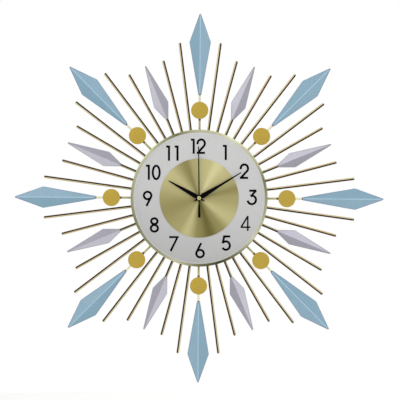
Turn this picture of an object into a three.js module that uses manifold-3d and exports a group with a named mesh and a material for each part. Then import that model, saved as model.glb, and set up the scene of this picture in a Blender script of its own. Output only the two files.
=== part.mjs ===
// Sunburst wall clock: a quartz clock on a frame of radiating rods, folded metal kites and gold discs.
// Millimetres, +Z up. The dial faces -Y and the wall is the plane Y = 0. The origin is on the hands' axis.
//
// The pieces are made in clock coordinates and turned upright at the end: x to the right, y towards
// 12 o'clock, z forward from the wall. Angles are in degrees, clockwise from 12 o'clock.
import * as THREE from 'three';
import { mergeVertices } from 'three/addons/utils/BufferGeometryUtils.js';
import Module from 'manifold-3d';

const wasm = await Module();
wasm.setup();

// ---------------------------------------------------------------- driving dimensions
const GAP = 0.3; // between pieces that touch

// The star. Every spoke angle is a multiple of SPOKE_PITCH, and the pattern repeats every 6 spokes.
const SPOKES = 48;
const SPOKE_PITCH = 360 / SPOKES;
const ROD = { radius: 2.5, depth: 2.55, sides: 6, start: 100 };
const LONG_ROD_TIP = 298;
const SHORT_ROD_TIP = 270.5;
const SPOKE_RING = { inner: 100, outer: 122, from: 4.2, to: 6.2 };
const STEM = { radius: 2.0, depth: 6.82, start: 104, end: 222 };
const DISC = { centre: 166.7, radius: 16.4, from: 8.4, to: 9.9 };
const SHEET = 1.2; // thickness of the folded kites
const FOLD_SLOPE = 0.229; // how far a kite's edge falls back for each mm away from its ridge
const BLUE_KITE = { root: 197, widest: 296.5, tip: 350, halfWidth: 20.5, ridge: 10.3 };
const MAUVE_KITE = { root: 162.4, widest: 191.5, tip: 271, halfWidth: 14.8, ridge: 6.6 };
const KITE_ROOT_HALF_WIDTH = 3.1;
const KITE_TIP = { radius: 1.7, slope: 0.6 };
const FRAME_SCREWS = { count: 3, angle: 63.75, pitchRadius: 117, shank: 1.4, head: 3.2, pad: 3.6 };

// The drum, the dial and what is clamped on it
const DRUM = { outer: 129.5, wall: 2, from: 9.0, to: 18.2, flangeInner: 110, flange: 1.2 };
const LEDGE = { inner: 121, from: 15.5, to: 16.7 };
const DIAL = { radius: 127.2, from: 17.0, to: 18.2 };
const BEZEL = { inner: 125.0, outer: 129.8, from: 18.5, to: 20.5, bead: 1.2 };
const CENTRE_DISC = { radius: 74.8, from: 18.5, to: 19.0 };
const HANGER = { halfWidth: 9, bottom: 84, top: 118, from: 2.6, to: 3.9, eye: 90, eyeRadius: 4.2 };
const HANGER_SLOT = { halfWidth: 2, top: 98 };

// The movement: a square case, with the wheels above and the battery below
const CASE = { half: 28, wall: 1.2, front: 15.6, frontWall: 1.0, partition: -11.6, partitionWall: 1.0 };
const COVER = { thickness: 1.2, top: 26.5, bottom: -10.3 };
const BUSH = { radius: 4.6, bore: 2.8, end: 22.4 };
const WASHER = { radius: 6.6, front: 19.8, rubberRadius: 12 };
const NUT = { radius: 6.4, from: 20.1, to: 21.9 };
const BATTERY = { y: -19.3, depth: 7.4, radius: 6.95, left: -24.6, right: 24.3, nub: 2.7, nubEnd: 25.6 };
const CONTACT = { inside: 26.1, outside: 26.5, bottom: -24, top: -14.5, from: 2, to: 13 };

// Wheels. Meshing pairs share a module, and their distance is half the module times both tooth counts.
const ROTOR_PINION = { teeth: 8, module: 0.375, from: 2.2, to: 3.6 };
const INTERMEDIATE_WHEEL = { teeth: 40, module: 0.375, from: 2.5, to: 3.3 };
const INTERMEDIATE_PINION = { teeth: 8, module: 0.375, from: 3.3, to: 5.4 };
const SECONDS_WHEEL = { teeth: 48, module: 0.375, from: 4.0, to: 5.0 };
const SECONDS_PINION = { teeth: 6, module: 0.4, from: 5.0, to: 6.8 };
const THIRD_WHEEL = { teeth: 45, module: 0.4, from: 5.7, to: 6.5 };
const THIRD_PINION = { teeth: 6, module: 17 / 45, from: 6.5, to: 8.4 };
const CENTRE_WHEEL = { teeth: 48, module: 17 / 45, from: 7.2, to: 8.0 };
const CANNON_PINION = { teeth: 10, module: 0.53, from: 9.0, to: 10.7 };
const SETTING_WHEEL = { teeth: 30, module: 0.53, from: 9.4, to: 10.4 };
const SETTING_PINION = { teeth: 8, module: 0.53, from: 10.4, to: 12.6 };
const HOUR_WHEEL = { teeth: 32, module: 0.53, from: 11.2, to: 12.2 };
const TOOTH = { addendum: 0.8, dedendum: 1.15, tip: 0.2, root: 0.56 }; // widths as shares of the pitch

const meshDistance = (a, b) => ((a.teeth + b.teeth) * a.module) / 2;
const INTERMEDIATE_DIRECTION = 0;
const ROTOR_DIRECTION = 70; // seen from the intermediate wheel
const THIRD_DIRECTION = 270;
const SETTING_DIRECTION = 90;
const PIVOT = { radius: 0.5, hole: 0.7, boss: 1.0, from: 1.3, to: 14.2, coverBoss: 1.9 };
const CENTRE = new THREE.Vector2(0, 0);
const INTERMEDIATE = along(CENTRE, meshDistance(SECONDS_WHEEL, INTERMEDIATE_PINION), INTERMEDIATE_DIRECTION);
const ROTOR = along(INTERMEDIATE, meshDistance(INTERMEDIATE_WHEEL, ROTOR_PINION), ROTOR_DIRECTION);
const THIRD = along(CENTRE, meshDistance(SECONDS_PINION, THIRD_WHEEL), THIRD_DIRECTION);
const SETTING = along(CENTRE, meshDistance(CANNON_PINION, SETTING_WHEEL), SETTING_DIRECTION);

// Arbors on the hands' axis, from the inside out
const SECONDS_ARBOR = { radius: 0.5, from: 1.3, to: 26.9 };
const MINUTE_TUBE = { radius: 1.5, bore: 0.75, from: 7.0, to: 25.6 };
const HOUR_TUBE = { radius: 2.5, bore: 1.75, from: 11.2, to: 24.1 };
const SETTING_ARBOR = { radius: 0.9, from: 2.4, to: 12.6, pivot: 0.7, pivotTo: 14.2 };
const HOUR_WASHER = { radius: 6.8, bore: 2.8, from: 12.8, to: 13.8 };
const SETTING_BUSH = { radius: 3.5, bore: 0.95, from: 12.9, to: 14.2 };
const KNOB = { radius: 4.6, well: 5.2, from: 0.4, to: 3.2, socket: 1.2, socketFrom: 2.0, ribs: 10 };

// Hands, at the time that the clock is stored with. A waist is a half-width and its distance along the hand.
const BLADE = { widest: 9, tipHalfWidth: 0.7, eye: 5.8, tailHalfWidth: 2.2, tailStart: 4.5, tail: 13.5 };
const HOUR_HAND = {
  angle: 299.2, length: 66.5, halfWidth: 4.4, waist: [2.8, 34], from: 23.2, to: 23.8, bore: 2.8,
};
const MINUTE_HAND = {
  angle: 58.3, length: 93, halfWidth: 4.75, waist: [2.2, 45], from: 24.6, to: 25.2, bore: 1.8,
};
const SECOND_HAND = { angle: 359, length: 98, halfWidth: 1.2, tipHalfWidth: 1.0 };
const COUNTERWEIGHT = { start: 13, end: 36.8, startHalfWidth: 1.9, endHalfWidth: 2.35 };
const SECOND_PLATE = { from: 26.2, to: 26.7, eye: 3.2, bore: 0.8 };
const HUB = { radius: 3.6, from: 27.0, to: 28.2 };

// ---------------------------------------------------------------- materials
function finish(color, roughness, metalness) {
  return new THREE.MeshStandardMaterial({ color, roughness, metalness });
}

const GOLD_ROD = finish(0xb59b5a, 0.35, 0.9);
const GOLD_DISC = finish(0xbba146, 0.45, 0.8);
const BLUE_PAINT = finish(0x8eabbc, 0.45, 0.3);
const MAUVE_PAINT = finish(0xb3b2bd, 0.45, 0.3);
const RIM_GOLD = finish(0xc8c496, 0.3, 0.9);
const SPUN_GOLD = finish(0xb3aa73, 0.3, 0.95);
const GREY_FACE = finish(0xc6c7c5, 0.7, 0.1);
const HAND_BLACK = finish(0x151515, 0.4, 0.2);
const BLACK_PLASTIC = finish(0x1d1d1f, 0.5, 0);
const WHITE_PLASTIC = finish(0xe6e3da, 0.5, 0);
const STEEL = finish(0xb4b6b8, 0.35, 0.95);
const BRASS = finish(0xc9a653, 0.35, 0.95);
const RUBBER = finish(0x222222, 0.9, 0);
const COPPER = finish(0xb5703c, 0.4, 0.9);
const BOARD_GREEN = finish(0x2f6b3c, 0.6, 0);
const BATTERY_SKIN = finish(0x3b4a5a, 0.4, 0.3);

// ---------------------------------------------------------------- shapes and solids
function along(start, distance, degrees) {
  const angle = THREE.MathUtils.degToRad(degrees);
  return new THREE.Vector2(start.x + distance * Math.sin(angle), start.y + distance * Math.cos(angle));
}

// The corners of a regular polygon whose corners lie on the circle, with one corner at the given angle.
function roundPoints(radius, sides, centre = CENTRE, first = 0) {
  return Array.from({ length: sides }, (_, i) => along(centre, radius, first - (360 * i) / sides));
}

function shapeOf(points, ...holes) {
  const shape = new THREE.Shape(points);
  for (const hole of holes) shape.holes.push(new THREE.Path(hole));
  return shape;
}

function boxPoints(left, bottom, right, top) {
  const corners = [[left, bottom], [right, bottom], [right, top], [left, top]];
  return corners.map(([x, y]) => new THREE.Vector2(x, y));
}

// A flat plate with the given outline, between two depths.
function plate(shape, from, to) {
  const geometry = new THREE.ExtrudeGeometry(shape, { depth: to - from, bevelEnabled: false });
  return geometry.translate(0, 0, from);
}

function post(radius, from, to, sides = 12, centre = CENTRE) {
  return plate(shapeOf(roundPoints(radius, sides, centre)), from, to);
}

function tube(outer, inner, from, to, sides = 24, centre = CENTRE) {
  return plate(shapeOf(roundPoints(outer, sides, centre), roundPoints(inner, sides, centre)), from, to);
}

function box(left, bottom, right, top, from, to) {
  return plate(shapeOf(boxPoints(left, bottom, right, top)), from, to);
}

// A ring whose section is a closed list of [radius, depth] points.
function turnedRing(section, sides) {
  const points = [...section, section[0]].map(([radius, depth]) => new THREE.Vector2(radius, depth));
  return new THREE.LatheGeometry(points, sides).rotateX(Math.PI / 2);
}

// A straight round bar along the spoke at the given angle.
function bar(radius, start, end, depth, sides, degrees) {
  const geometry = new THREE.CylinderGeometry(radius, radius, end - start, sides);
  geometry.rotateY(Math.PI / sides).translate(0, (start + end) / 2, depth);
  return geometry.rotateZ(-THREE.MathUtils.degToRad(degrees));
}

function solidOf(geometry) {
  const bare = new THREE.BufferGeometry().setAttribute('position', geometry.getAttribute('position'));
  if (geometry.index) bare.setIndex(geometry.index);
  const merged = mergeVertices(bare, 1e-4);
  return new wasm.Manifold(
    new wasm.Mesh({
      numProp: 3,
      vertProperties: new Float32Array(merged.attributes.position.array),
      triVerts: new Uint32Array(merged.index.array),
    }),
  );
}

function geometryOf(solid) {
  const { numProp, numVert, vertProperties, triVerts } = solid.getMesh();
  const positions = new Float32Array(numVert * 3);
  for (let i = 0; i < numVert; i += 1) {
    positions.set(vertProperties.subarray(i * numProp, i * numProp + 3), i * 3);
  }
  const geometry = new THREE.BufferGeometry();
  geometry.setAttribute('position', new THREE.BufferAttribute(positions, 3));
  geometry.setIndex(new THREE.BufferAttribute(new Uint32Array(triVerts), 1));
  geometry.computeVertexNormals();
  return geometry;
}

function join(...geometries) {
  return geometryOf(geometries.map(solidOf).reduce((sum, solid) => sum.add(solid)));
}

function cut(geometry, ...tools) {
  return geometryOf(tools.map(solidOf).reduce((rest, tool) => rest.subtract(tool), solidOf(geometry)));
}

const clock = new THREE.Group();
clock.rotation.x = Math.PI / 2;

function addPiece(name, geometry, material) {
  const mesh = new THREE.Mesh(geometry, material);
  mesh.name = name;
  clock.add(mesh);
}

// ---------------------------------------------------------------- the star
// The plain rods and the mauve kites' stems are welded to the back of one flat ring. At the places that
// are multiples of six, its front has notches, in which the stems of the gold discs and blue kites lie.
function spokeFrame() {
  const { inner, outer, from, to } = SPOKE_RING;
  const pieces = [tube(outer, inner, from, to, SPOKES)];
  for (let i = 0; i < SPOKES; i += 1) {
    const place = i % 6;
    if (place === 0) continue;
    const tips = { 1: LONG_ROD_TIP, 2: SHORT_ROD_TIP, 3: MAUVE_KITE.root + 20 };
    const tip = tips[Math.min(place, 6 - place)];
    pieces.push(bar(ROD.radius, ROD.start, tip, ROD.depth, ROD.sides, i * SPOKE_PITCH));
  }
  const holes = [];
  for (let i = 0; i < SPOKES; i += 6) {
    holes.push(bar(STEM.radius + GAP, STEM.start - 1, outer + 1, STEM.depth, ROD.sides, i * SPOKE_PITCH));
  }
  for (const centre of screwCentres()) {
    pieces.push(post(FRAME_SCREWS.pad, to - 0.5, DRUM.from - GAP, 16, centre));
    holes.push(post(FRAME_SCREWS.shank + GAP, from - 1, DRUM.from, 12, centre));
  }
  return cut(join(...pieces), ...holes);
}

function screwCentres() {
  const { count, angle, pitchRadius } = FRAME_SCREWS;
  return Array.from({ length: count }, (_, i) => along(CENTRE, pitchRadius, angle + (360 * i) / count));
}

function discStem(degrees) {
  const stem = bar(STEM.radius, STEM.start, STEM.end, STEM.depth, ROD.sides, degrees);
  return join(stem, post(DISC.radius, DISC.from, DISC.to, 24, along(CENTRE, DISC.centre, degrees)));
}

// A sheet folded along its ridge. The ridge is straight, and the edges fall back from it.
function kite({ root, widest, tip, halfWidth, ridge }, degrees) {
  const tipStart = tip - KITE_TIP.radius;
  const stations = [
    [root, KITE_ROOT_HALF_WIDTH],
    [widest, halfWidth],
    [tipStart, KITE_TIP.radius],
    [tip, KITE_TIP.radius * KITE_TIP.slope],
  ];
  const positions = [];
  for (const [radius, half] of stations) {
    for (const side of [-1, 0, 1]) {
      const depth = ridge - Math.abs(side) * half * FOLD_SLOPE;
      positions.push(side * half, radius, depth, side * half, radius, depth - SHEET);
    }
  }
  const quads = [];
  const last = stations.length - 1;
  for (let i = 0; i < last; i += 1) {
    const a = 6 * i;
    const b = a + 6;
    quads.push([a, a + 2, b + 2, b], [a + 2, a + 4, b + 4, b + 2]); // front
    quads.push([a + 1, b + 1, b + 3, a + 3], [a + 3, b + 3, b + 5, a + 5]); // back
    quads.push([a, b, b + 1, a + 1], [a + 4, a + 5, b + 5, b + 4]); // edges
  }
  const end = 6 * last;
  quads.push([0, 1, 3, 2], [2, 3, 5, 4]);
  quads.push([end, end + 2, end + 3, end + 1], [end + 2, end + 4, end + 5, end + 3]);
  const geometry = new THREE.BufferGeometry();
  geometry.setAttribute('position', new THREE.Float32BufferAttribute(positions, 3));
  geometry.setIndex(quads.flatMap(([a, b, c, d]) => [a, b, c, a, c, d]));
  return geometry.rotateZ(-THREE.MathUtils.degToRad(degrees));
}

addPiece('spoke_frame', spokeFrame(), GOLD_ROD);
for (let i = 0; i < 8; i += 1) {
  const degrees = 6 * i * SPOKE_PITCH;
  const between = degrees + 3 * SPOKE_PITCH;
  addPiece(`disc_stem_${i + 1}`, discStem(degrees), GOLD_DISC);
  addPiece(`blue_kite_${i + 1}`, kite(BLUE_KITE, degrees), BLUE_PAINT);
  addPiece(`mauve_kite_${i + 1}`, kite(MAUVE_KITE, between), MAUVE_PAINT);
}

// ---------------------------------------------------------------- drum, bezel, dial and hanger
function caseDrum() {
  const { outer, wall, from, to, flangeInner, flange } = DRUM;
  const inner = outer - wall;
  const ceiling = from + flange + 1;
  const section = [
    [flangeInner, from], [outer, from], [outer, to], [inner, to],
    [inner, LEDGE.to], [LEDGE.inner, LEDGE.to], [LEDGE.inner, LEDGE.from], [inner, LEDGE.from],
    [inner, from + flange], [flangeInner, from + flange],
  ];
  const holes = screwCentres().map((centre) => post(FRAME_SCREWS.shank + GAP, from - 1, ceiling, 12, centre));
  return cut(turnedRing(section, SPOKES), ...holes);
}

function bezelRing() {
  const { inner, outer, from, to, bead } = BEZEL;
  const section = [
    [inner, from], [outer, from], [outer, to - bead], [outer - bead * 0.3, to - bead * 0.3],
    [outer - bead, to], [inner + bead, to], [inner + bead * 0.3, to - bead * 0.3], [inner, to - bead],
  ];
  return turnedRing(section, SPOKES);
}

function frameScrew(centre) {
  const headBack = SPOKE_RING.from - GAP;
  const shank = post(FRAME_SCREWS.shank, headBack - 0.5, DRUM.from + DRUM.flange + 1.6, 10, centre);
  return join(shank, post(FRAME_SCREWS.head, headBack - 1.8, headBack, 16, centre));
}

// A keyhole plate: the wall screw's head goes in at the round eye and up the slot.
function hangerPlate() {
  const { halfWidth, bottom, top, from, to, eye, eyeRadius } = HANGER;
  const slot = HANGER_SLOT.halfWidth;
  const body = box(-halfWidth, bottom, halfWidth, top, from, to);
  const round = post(eyeRadius, from - 1, to + 1, 20, new THREE.Vector2(0, eye));
  const narrow = box(-slot, eye, slot, HANGER_SLOT.top, from - 1, to + 1);
  return cut(body, join(round, narrow));
}

addPiece('case_drum', caseDrum(), RIM_GOLD);
addPiece('bezel_ring', bezelRing(), RIM_GOLD);
screwCentres().forEach((centre, i) => addPiece(`frame_screw_${i + 1}`, frameScrew(centre), STEEL));
addPiece('hanger_plate', hangerPlate(), STEEL);
addPiece('dial_face', tube(DIAL.radius, BUSH.radius + 0.5, DIAL.from, DIAL.to, SPOKES), GREY_FACE);
addPiece(
  'centre_disc',
  tube(CENTRE_DISC.radius, BUSH.radius + 0.5, CENTRE_DISC.from, CENTRE_DISC.to, SPOKES),
  SPUN_GOLD,
);

// ---------------------------------------------------------------- movement case, cover and clamping pieces
function bearing(centre, from, to, radius = PIVOT.boss) {
  return tube(radius, PIVOT.hole, from, to, 10, centre);
}

function movementCase() {
  const { half, wall, front, frontWall, partition, partitionWall } = CASE;
  const inside = half - wall;
  const ceiling = front - frontWall;
  const bayTop = partition;
  const roomBottom = partition + partitionWall;
  const block = box(-half, -half, half, half, 0, front);
  const bay = box(-inside, -inside, inside, bayTop, -1, ceiling);
  const room = box(-inside, roomBottom, inside, inside, -1, ceiling);
  const shell = cut(block, bay, room, post(BUSH.bore, ceiling - 1, front + 1, 20));
  const bearings = [
    bearing(INTERMEDIATE, INTERMEDIATE_PINION.to + 0.6, ceiling + 0.5),
    bearing(ROTOR, 9.2, ceiling + 0.5),
    bearing(THIRD, THIRD_PINION.to + 0.6, ceiling + 0.5),
  ];
  return join(shell, tube(BUSH.radius, BUSH.bore, front - 0.5, BUSH.end, 20), ...bearings);
}

function movementCover() {
  const { thickness, top, bottom } = COVER;
  const well = post(KNOB.well, -1, thickness + 1, 24, SETTING);
  const sheet = cut(box(-top, bottom, top, top, 0, thickness), well);
  const centres = [CENTRE, INTERMEDIATE, ROTOR, THIRD];
  return join(sheet, ...centres.map((centre) => bearing(centre, thickness - 0.2, PIVOT.coverBoss)));
}

function batteryContact(side, bump) {
  const { inside, outside, bottom, top, from, to } = CONTACT;
  const [left, right] = side > 0 ? [inside, outside] : [-outside, -inside];
  const strip = box(left, bottom, right, top, from, to);
  if (!bump) return strip;
  const cone = new THREE.CylinderGeometry(1.2, 3.4, 1.25, 12).rotateZ(-Math.PI / 2);
  return join(strip, cone.translate(-inside + 0.5, BATTERY.y, BATTERY.depth));
}

function battery() {
  const { y, depth, radius, left, right, nub, nubEnd } = BATTERY;
  const body = new THREE.CylinderGeometry(radius, radius, right - left, 24).rotateZ(Math.PI / 2);
  const button = new THREE.CylinderGeometry(nub, nub, nubEnd - right + 1, 16).rotateZ(Math.PI / 2);
  body.translate((left + right) / 2, y, depth);
  return join(body, button.translate((nubEnd + right - 1) / 2, y, depth));
}

function fixingNut() {
  const hexagon = shapeOf(roundPoints(NUT.radius, 6), roundPoints(BUSH.radius + GAP, 20));
  return plate(hexagon, NUT.from, NUT.to);
}

addPiece('movement_case', movementCase(), BLACK_PLASTIC);
addPiece('movement_cover', movementCover(), BLACK_PLASTIC);
const washerBore = BUSH.radius + GAP;
addPiece('rubber_washer', tube(WASHER.rubberRadius, washerBore, CASE.front + GAP, DIAL.from - GAP), RUBBER);
addPiece('brass_washer', tube(WASHER.radius, washerBore, CENTRE_DISC.to + GAP, WASHER.front), BRASS);
addPiece('fixing_nut', fixingNut(), BRASS);
addPiece('contact_positive', batteryContact(1, false), STEEL);
addPiece('contact_negative', batteryContact(-1, true), STEEL);
addPiece('battery', battery(), BATTERY_SKIN);

// ---------------------------------------------------------------- drive: coil, stator, circuit
const COIL = { y: 22.9, depth: 6.8, flange: 3.2, winding: 2.8, bore: 1.4, half: 10.5, flangeWidth: 0.8 };
const STATOR = { from: 6.3, to: 7.3, outside: 14, leg: 2, top: 23.9, low: 13, barTop: 17.4, core: 1.0 };
const POLE = { radius: 4.6, hole: 3.1 };
const MAGNET = { radius: 2.6, from: 5.0, to: 8.4 };
const BOARD = { left: -26.2, bottom: -8, right: -16, top: 25, from: 2.2, to: 3.2 };
const CRYSTAL = { radius: 1.5, length: 6, x: -22, y: 16, depth: 5.1 };

function driveCoil() {
  const { y, depth, flange, winding, bore, half, flangeWidth } = COIL;
  const edge = half - flangeWidth;
  const section = [
    [bore, -half], [flange, -half], [flange, -edge], [winding, -edge],
    [winding, edge], [flange, edge], [flange, half], [bore, half],
  ];
  const points = [...section, section[0]].map(([radius, x]) => new THREE.Vector2(radius, x));
  return new THREE.LatheGeometry(points, 16).rotateZ(-Math.PI / 2).translate(0, y, depth);
}

function stator() {
  const { from, to, outside, leg, low, barTop, core } = STATOR;
  const coreTop = COIL.y + core;
  const window = boxPoints(-outside + leg, barTop, outside - leg, COIL.y - core);
  const frame = plate(shapeOf(boxPoints(-outside, low, outside, coreTop), window), from, to);
  const pole = post(POLE.radius, from, to, 20, ROTOR);
  return cut(join(frame, pole), post(POLE.hole, from - 1, to + 1, 20, ROTOR));
}

function circuitBoard() {
  const { left, bottom, right, top, from, to } = BOARD;
  return box(left, bottom, right, top, from, to);
}

function quartzCrystal() {
  const { radius, length, x, y, depth } = CRYSTAL;
  return new THREE.CylinderGeometry(radius, radius, length, 12).translate(x, y, depth);
}

addPiece('drive_coil', driveCoil(), COPPER);
addPiece('stator', stator(), STEEL);
addPiece('circuit_board', circuitBoard(), BOARD_GREEN);
addPiece('quartz_crystal', quartzCrystal(), STEEL);

// ---------------------------------------------------------------- wheels and arbors
// A gear with four points to a tooth. One tooth points at the given angle, or one gap does.
function gear({ teeth, module, from, to }, centre, pointing, isGap, bore = 0, boreSides = 16) {
  const pitchRadius = (teeth * module) / 2;
  const tip = pitchRadius + TOOTH.addendum * module;
  const root = pitchRadius - TOOTH.dedendum * module;
  const half = 180 / teeth;
  const first = pointing + (isGap ? half : 0);
  const points = [];
  for (let i = 0; i < teeth; i += 1) {
    const middle = first - 2 * half * i;
    points.push(
      along(centre, root, middle + half * TOOTH.root),
      along(centre, tip, middle + half * TOOTH.tip),
      along(centre, tip, middle - half * TOOTH.tip),
      along(centre, root, middle - half * TOOTH.root),
    );
  }
  return plate(bore ? shapeOf(points, roundPoints(bore, boreSides, centre)) : shapeOf(points), from, to);
}

const opposite = (degrees) => degrees + 180;

addPiece(
  'rotor',
  join(
    gear(ROTOR_PINION, ROTOR, opposite(ROTOR_DIRECTION), false),
    post(MAGNET.radius, MAGNET.from, MAGNET.to, 16, ROTOR),
    post(PIVOT.radius, PIVOT.from, PIVOT.to, 10, ROTOR),
  ),
  STEEL,
);
addPiece(
  'intermediate_wheel',
  join(
    gear(INTERMEDIATE_WHEEL, INTERMEDIATE, ROTOR_DIRECTION, true),
    gear(INTERMEDIATE_PINION, INTERMEDIATE, opposite(INTERMEDIATE_DIRECTION), false),
    post(PIVOT.radius, PIVOT.from, PIVOT.to, 10, INTERMEDIATE),
  ),
  WHITE_PLASTIC,
);
addPiece(
  'seconds_wheel',
  join(
    gear(SECONDS_WHEEL, CENTRE, INTERMEDIATE_DIRECTION, true),
    gear(SECONDS_PINION, CENTRE, THIRD_DIRECTION, false),
    post(SECONDS_ARBOR.radius, SECONDS_ARBOR.from, SECONDS_ARBOR.to, 10),
  ),
  WHITE_PLASTIC,
);
addPiece(
  'third_wheel',
  join(
    gear(THIRD_WHEEL, THIRD, opposite(THIRD_DIRECTION), true),
    gear(THIRD_PINION, THIRD, opposite(THIRD_DIRECTION), false),
    post(PIVOT.radius, PIVOT.from, PIVOT.to, 10, THIRD),
  ),
  WHITE_PLASTIC,
);
addPiece('centre_wheel', gear(CENTRE_WHEEL, CENTRE, THIRD_DIRECTION, true, MINUTE_TUBE.radius + 0.15), BRASS);
addPiece(
  'minute_arbor',
  cut(
    join(
      post(MINUTE_TUBE.radius, MINUTE_TUBE.from, MINUTE_TUBE.to, 16),
      gear(CANNON_PINION, CENTRE, SETTING_DIRECTION, false),
    ),
    post(MINUTE_TUBE.bore, MINUTE_TUBE.from - 1, MINUTE_TUBE.to + 1, 16),
  ),
  STEEL,
);
addPiece(
  'setting_wheel',
  join(
    gear(SETTING_WHEEL, SETTING, opposite(SETTING_DIRECTION), true),
    gear(SETTING_PINION, SETTING, opposite(SETTING_DIRECTION), false),
    post(SETTING_ARBOR.radius, SETTING_ARBOR.from, SETTING_ARBOR.to, 12, SETTING),
    post(SETTING_ARBOR.pivot, SETTING_ARBOR.to - 0.5, SETTING_ARBOR.pivotTo, 10, SETTING),
  ),
  WHITE_PLASTIC,
);
addPiece(
  'hour_wheel',
  cut(
    join(
      gear(HOUR_WHEEL, CENTRE, SETTING_DIRECTION, true),
      post(HOUR_TUBE.radius, HOUR_TUBE.from, HOUR_TUBE.to, 16),
    ),
    post(HOUR_TUBE.bore, HOUR_TUBE.from - 1, HOUR_TUBE.to + 1, 16),
  ),
  BRASS,
);
addPiece(
  'hour_washer',
  tube(HOUR_WASHER.radius, HOUR_WASHER.bore, HOUR_WASHER.from, HOUR_WASHER.to, 20),
  BRASS,
);
addPiece(
  'setting_bush',
  tube(SETTING_BUSH.radius, SETTING_BUSH.bore, SETTING_BUSH.from, SETTING_BUSH.to, 16, SETTING),
  BRASS,
);

// A knurled knob that sits in the well of the cover, with a socket for the setting arbor.
function settingKnob() {
  const points = roundPoints(KNOB.radius, 2 * KNOB.ribs, SETTING).map((point, i) => {
    const inward = i % 2 ? 0.92 : 1;
    return point.clone().sub(SETTING).multiplyScalar(inward).add(SETTING);
  });
  const body = plate(shapeOf(points), KNOB.from, KNOB.to);
  return cut(body, post(KNOB.socket, KNOB.socketFrom, KNOB.to + 1, 12, SETTING));
}

addPiece('setting_knob', settingKnob(), BLACK_PLASTIC);

// ---------------------------------------------------------------- hands
// A lozenge blade with a round eye and a narrow, pointed tail.
function taperedHand({ angle, length, halfWidth, waist, from, to, bore }) {
  const { widest, tipHalfWidth, eye, tailHalfWidth, tailStart, tail } = BLADE;
  const side = [
    [tailHalfWidth, -tailStart], [tailHalfWidth, 0], [halfWidth, widest], waist, [tipHalfWidth, length],
  ];
  const blade = plate(shapeOf(mirroredPoints([[0, -tail], ...side])), from, to);
  const hand = join(blade, post(eye, from, to, 24));
  return cut(hand, post(bore, from - 1, to + 1, 16)).rotateZ(-THREE.MathUtils.degToRad(angle));
}

// The right side's points, from the bottom up, and the same points on the left on the way back.
function mirroredPoints(side) {
  const left = side.filter(([x]) => x > 0).reverse().map(([x, y]) => [-x, y]);
  return [...side, ...left].map(([x, y]) => new THREE.Vector2(x, y));
}

function secondHand() {
  const { angle, length, halfWidth, tipHalfWidth } = SECOND_HAND;
  const { start, end, startHalfWidth, endHalfWidth } = COUNTERWEIGHT;
  const { from, to, eye, bore } = SECOND_PLATE;
  const outline = [
    [endHalfWidth, -end], [startHalfWidth, -start], [halfWidth, -start], [tipHalfWidth, length],
  ];
  const hand = join(plate(shapeOf(mirroredPoints(outline)), from, to), post(eye, from, to, 20));
  return cut(hand, post(bore, from - 1, to + 1, 12)).rotateZ(-THREE.MathUtils.degToRad(angle));
}

function hubButton() {
  const { radius, from, to } = HUB;
  const points = [[0, from], [radius, from], [radius, from + 0.6], [radius * 0.75, to - 0.15], [0, to]];
  const profile = points.map(([x, depth]) => new THREE.Vector2(x, depth));
  return new THREE.LatheGeometry(profile, 24).rotateX(Math.PI / 2);
}

addPiece('hour_hand', taperedHand(HOUR_HAND), HAND_BLACK);
addPiece('minute_hand', taperedHand(MINUTE_HAND), HAND_BLACK);
addPiece('second_hand', secondHand(), HAND_BLACK);
addPiece('second_hub', hubButton(), GOLD_DISC);

export default clock;
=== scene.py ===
"""The finished surfaces of a sunburst wall clock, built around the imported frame.

Pieces are made in clock coordinates, in millimetres: x to the right, y towards 12 o'clock and z forward
from the wall. A spoke's pieces are made at 12 o'clock and turned clockwise to their place. Each mesh then
goes into the row frame, and keeps its clock coordinates, in metres, in the vertex attribute "own".
Colours are display colours, each channel from 0 to 255.
"""
import math
from collections import namedtuple

import bmesh
import bpy
from mathutils import Matrix, Vector
from mathutils.geometry import tessellate_polygon


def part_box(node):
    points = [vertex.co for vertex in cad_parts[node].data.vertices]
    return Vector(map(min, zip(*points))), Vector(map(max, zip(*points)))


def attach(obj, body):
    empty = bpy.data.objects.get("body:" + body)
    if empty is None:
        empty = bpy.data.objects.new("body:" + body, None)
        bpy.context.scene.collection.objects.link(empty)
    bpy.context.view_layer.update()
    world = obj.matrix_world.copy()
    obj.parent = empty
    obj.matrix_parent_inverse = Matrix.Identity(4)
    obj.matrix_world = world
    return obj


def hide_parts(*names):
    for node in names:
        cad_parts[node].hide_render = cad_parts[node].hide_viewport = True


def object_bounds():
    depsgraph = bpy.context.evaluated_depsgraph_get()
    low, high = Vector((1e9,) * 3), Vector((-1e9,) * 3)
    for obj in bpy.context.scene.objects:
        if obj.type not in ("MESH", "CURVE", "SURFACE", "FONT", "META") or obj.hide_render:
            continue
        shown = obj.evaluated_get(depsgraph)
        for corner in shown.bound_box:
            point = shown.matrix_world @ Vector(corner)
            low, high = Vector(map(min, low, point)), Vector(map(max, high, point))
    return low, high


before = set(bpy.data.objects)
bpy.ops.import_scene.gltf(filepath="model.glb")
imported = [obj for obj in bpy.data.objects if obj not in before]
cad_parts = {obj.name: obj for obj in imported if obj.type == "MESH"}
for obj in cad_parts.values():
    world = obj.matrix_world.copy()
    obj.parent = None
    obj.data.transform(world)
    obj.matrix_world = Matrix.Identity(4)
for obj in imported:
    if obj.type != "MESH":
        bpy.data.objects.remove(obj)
cad_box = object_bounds()
scene = bpy.context.scene

MM = 0.001
UPRIGHT = Matrix.Rotation(math.radians(90), 4, "X") @ Matrix.Scale(MM, 4)


# ---------------- sizes, in millimetres
def extent(node):
    """A CAD node's ranges in clock coordinates: left to right, bottom to top and back to front."""
    low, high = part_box(node)
    return (low.x / MM, high.x / MM), (low.z / MM, high.z / MM), (-high.y / MM, -low.y / MM)


def middle(node):
    """The middle of a CAD node, seen from the front."""
    (left, right), (bottom, top), _ = extent(node)
    return (left + right) / 2, (bottom + top) / 2


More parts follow.
